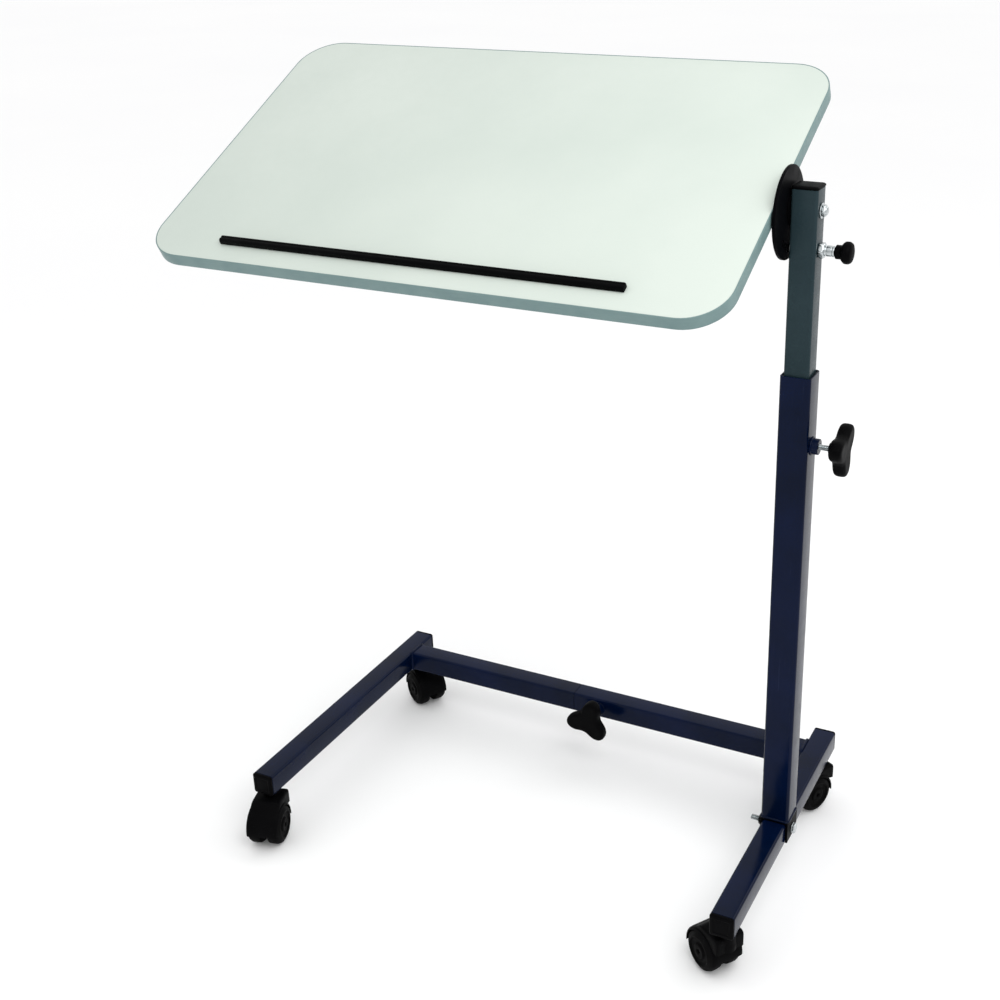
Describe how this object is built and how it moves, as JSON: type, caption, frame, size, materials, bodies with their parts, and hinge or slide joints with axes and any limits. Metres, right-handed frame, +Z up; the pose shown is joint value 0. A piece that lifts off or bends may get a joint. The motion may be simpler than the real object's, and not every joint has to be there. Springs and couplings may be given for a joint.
{
  "type": "overbed table",
  "caption": "Height-adjustable overbed table: a tilting top with a book ledge, cantilevered from a telescopic column on a castored base whose crossbar widens.",
  "frame": {"origin": "under the middle of the whole table, on the floor", "axes": "+Z up, +X along the crossbar towards the column, -Y towards the side the tabletop tilts down to"},
  "size_m": [0.668, 0.378, 0.8348],
  "materials": {
    "melamine": "satin white melamine face with a faint green tint",
    "edging": "grey-teal plastic edge band",
    "navy_paint": "glossy dark navy powder coat",
    "grey_paint": "satin slate-grey powder coat",
    "black_steel": "black powder-coated steel",
    "black_plastic": "moulded black plastic",
    "chrome": "bright zinc and nickel plate",
    "castor_tyre": "black nylon wheel"
  },
  "bodies": {
    "base": {"foot_right": "navy_paint", "foot_cap_right_front": "black_plastic", "foot_cap_right_rear": "black_plastic", "crossbar_right": "navy_paint", "column_saddle": "black_steel", "saddle_bolt": "chrome", "saddle_nut": "black_steel", "outer_column": "navy_paint", "column_bush": "black_plastic", "height_clamp_boss": "navy_paint", "bar_clamp_boss": "navy_paint", "castor_stem_right_front": "chrome", "castor_stem_right_rear": "chrome"},
    "left_frame": {"foot_left": "navy_paint", "foot_cap_left_front": "black_plastic", "foot_cap_left_rear": "black_plastic", "crossbar_left": "navy_paint", "crossbar_spigot": "black_steel", "castor_stem_left_front": "chrome", "castor_stem_left_rear": "chrome"},
    "height_clamp": {"height_clamp_screw": "chrome", "height_clamp_grip": "black_plastic"},
    "bar_clamp": {"bar_clamp_screw": "chrome", "bar_clamp_grip": "black_plastic"},
    "upright": {"inner_column": "grey_paint", "inner_column_cap": "black_plastic", "inner_column_guide": "black_plastic", "pivot_spacer": "black_plastic", "pivot_washer": "chrome", "pivot_nut": "chrome", "pivot_bolt": "chrome", "plunger_barrel": "chrome", "plunger_spring": "chrome"},
    "plunger": {"plunger_pin": "chrome", "plunger_grip": "black_plastic"},
    "tabletop": {"tabletop_board": "melamine", "tabletop_edge_band": "edging", "book_ledge": "black_plastic", "tilt_plate": "black_steel", "table_arm": "black_steel", "arm_screw_1": "chrome", "arm_screw_2": "chrome", "arm_screw_3": "chrome", "arm_screw_4": "chrome", "arm_pivot_insert": "chrome", "arm_end_plug": "black_plastic"},
    "castor_right_front": {"castor_hood_right_front": "black_plastic"},
    "wheel_right_front_a": {"castor_wheel_right_front_a": "castor_tyre"},
    "wheel_right_front_b": {"castor_wheel_right_front_b": "castor_tyre"},
    "castor_right_rear": {"castor_hood_right_rear": "black_plastic"},
    "wheel_right_rear_a": {"castor_wheel_right_rear_a": "castor_tyre"},
    "wheel_right_rear_b": {"castor_wheel_right_rear_b": "castor_tyre"},
    "castor_left_front": {"castor_hood_left_front": "black_plastic"},
    "wheel_left_front_a": {"castor_wheel_left_front_a": "castor_tyre"},
    "wheel_left_front_b": {"castor_wheel_left_front_b": "castor_tyre"},
    "castor_left_rear": {"castor_hood_left_rear": "black_plastic"},
    "wheel_left_rear_a": {"castor_wheel_left_rear_a": "castor_tyre"},
    "wheel_left_rear_b": {"castor_wheel_left_rear_b": "castor_tyre"}
  },
  "joints": [
    {"name": "width_slide", "type": "slide", "parent": "base", "child": "left_frame", "axis": [-1, 0, 0], "range_m": [0, 0.12]},
    {"name": "height_slide", "type": "slide", "parent": "base", "child": "upright", "axis": [0, 0, 1], "range_m": [-0.1, 0.25]},
    {"name": "tabletop_tilt", "type": "hinge", "parent": "upright", "child": "tabletop", "pos_m": [0.284, 0.01601, 0.73], "axis": [1, 0, 0], "range_deg": [-27.5, 41.25]},
    {"name": "plunger_pull", "type": "slide", "parent": "upright", "child": "plunger", "axis": [1, 0, 0], "range_m": [-0.0033, 0], "deforming": ["plunger_spring"]},
    {"name": "height_clamp_turn", "type": "hinge", "parent": "base", "child": "height_clamp", "pos_m": [0.299, 0.01601, 0.507], "axis": [1, 0, 0], "range_deg": [0, 540]},
    {"name": "bar_clamp_turn", "type": "hinge", "parent": "base", "child": "bar_clamp", "pos_m": [0.017, 0.13601, 0.0695], "axis": [0, -1, 0], "range_deg": [0, 540]},
    {"name": "castor_swivel_right_front", "type": "hinge", "parent": "base", "child": "castor_right_front", "pos_m": [0.284, -0.14199, 0.054], "axis": [0, 0, 1], "continuous": true},
    {"name": "wheel_spin_right_front_a", "type": "hinge", "parent": "castor_right_front", "child": "wheel_right_front_a", "pos_m": [0.26825, -0.13137, 0.022], "axis": [-0.5592, -0.829, 0], "continuous": true},
    {"name": "wheel_spin_right_front_b", "type": "hinge", "parent": "castor_right_front", "child": "wheel_right_front_b", "pos_m": [0.26825, -0.13137, 0.022], "axis": [-0.5592, -0.829, 0], "continuous": true},
    {"name": "castor_swivel_right_rear", "type": "hinge", "parent": "base", "child": "castor_right_rear", "pos_m": [0.284, 0.16901, 0.054], "axis": [0, 0, 1], "continuous": true},
    {"name": "wheel_spin_right_rear_a", "type": "hinge", "parent": "castor_right_rear", "child": "wheel_right_rear_a", "pos_m": [0.27508, 0.15223, 0.022], "axis": [0.8829, -0.4695, 0], "continuous": true},
    {"name": "wheel_spin_right_rear_b", "type": "hinge", "parent": "castor_right_rear", "child": "wheel_right_rear_b", "pos_m": [0.27508, 0.15223, 0.022], "axis": [0.8829, -0.4695, 0], "continuous": true},
    {"name": "castor_swivel_left_front", "type": "hinge", "parent": "left_frame", "child": "castor_left_front", "pos_m": [-0.26, -0.14199, 0.054], "axis": [0, 0, 1], "continuous": true},
    {"name": "wheel_spin_left_front_a", "type": "hinge", "parent": "castor_left_front", "child": "wheel_left_front_a", "pos_m": [-0.25444, -0.16016, 0.022], "axis": [0.9563, 0.2924, 0], "continuous": true},
    {"name": "wheel_spin_left_front_b", "type": "hinge", "parent": "castor_left_front", "child": "wheel_left_front_b", "pos_m": [-0.25444, -0.16016, 0.022], "axis": [0.9563, 0.2924, 0], "continuous": true},
    {"name": "castor_swivel_left_rear", "type": "hinge", "parent": "left_frame", "child": "castor_left_rear", "pos_m": [-0.26, 0.16901, 0.054], "axis": [0, 0, 1], "continuous": true},
    {"name": "wheel_spin_left_rear_a", "type": "hinge", "parent": "castor_left_rear", "child": "wheel_left_rear_a", "pos_m": [-0.24389, 0.15894, 0.022], "axis": [0.5299, 0.848, 0], "continuous": true},
    {"name": "wheel_spin_left_rear_b", "type": "hinge", "parent": "castor_left_rear", "child": "wheel_left_rear_b", "pos_m": [-0.24389, 0.15894, 0.022], "axis": [0.5299, 0.848, 0], "continuous": true}
  ]
}
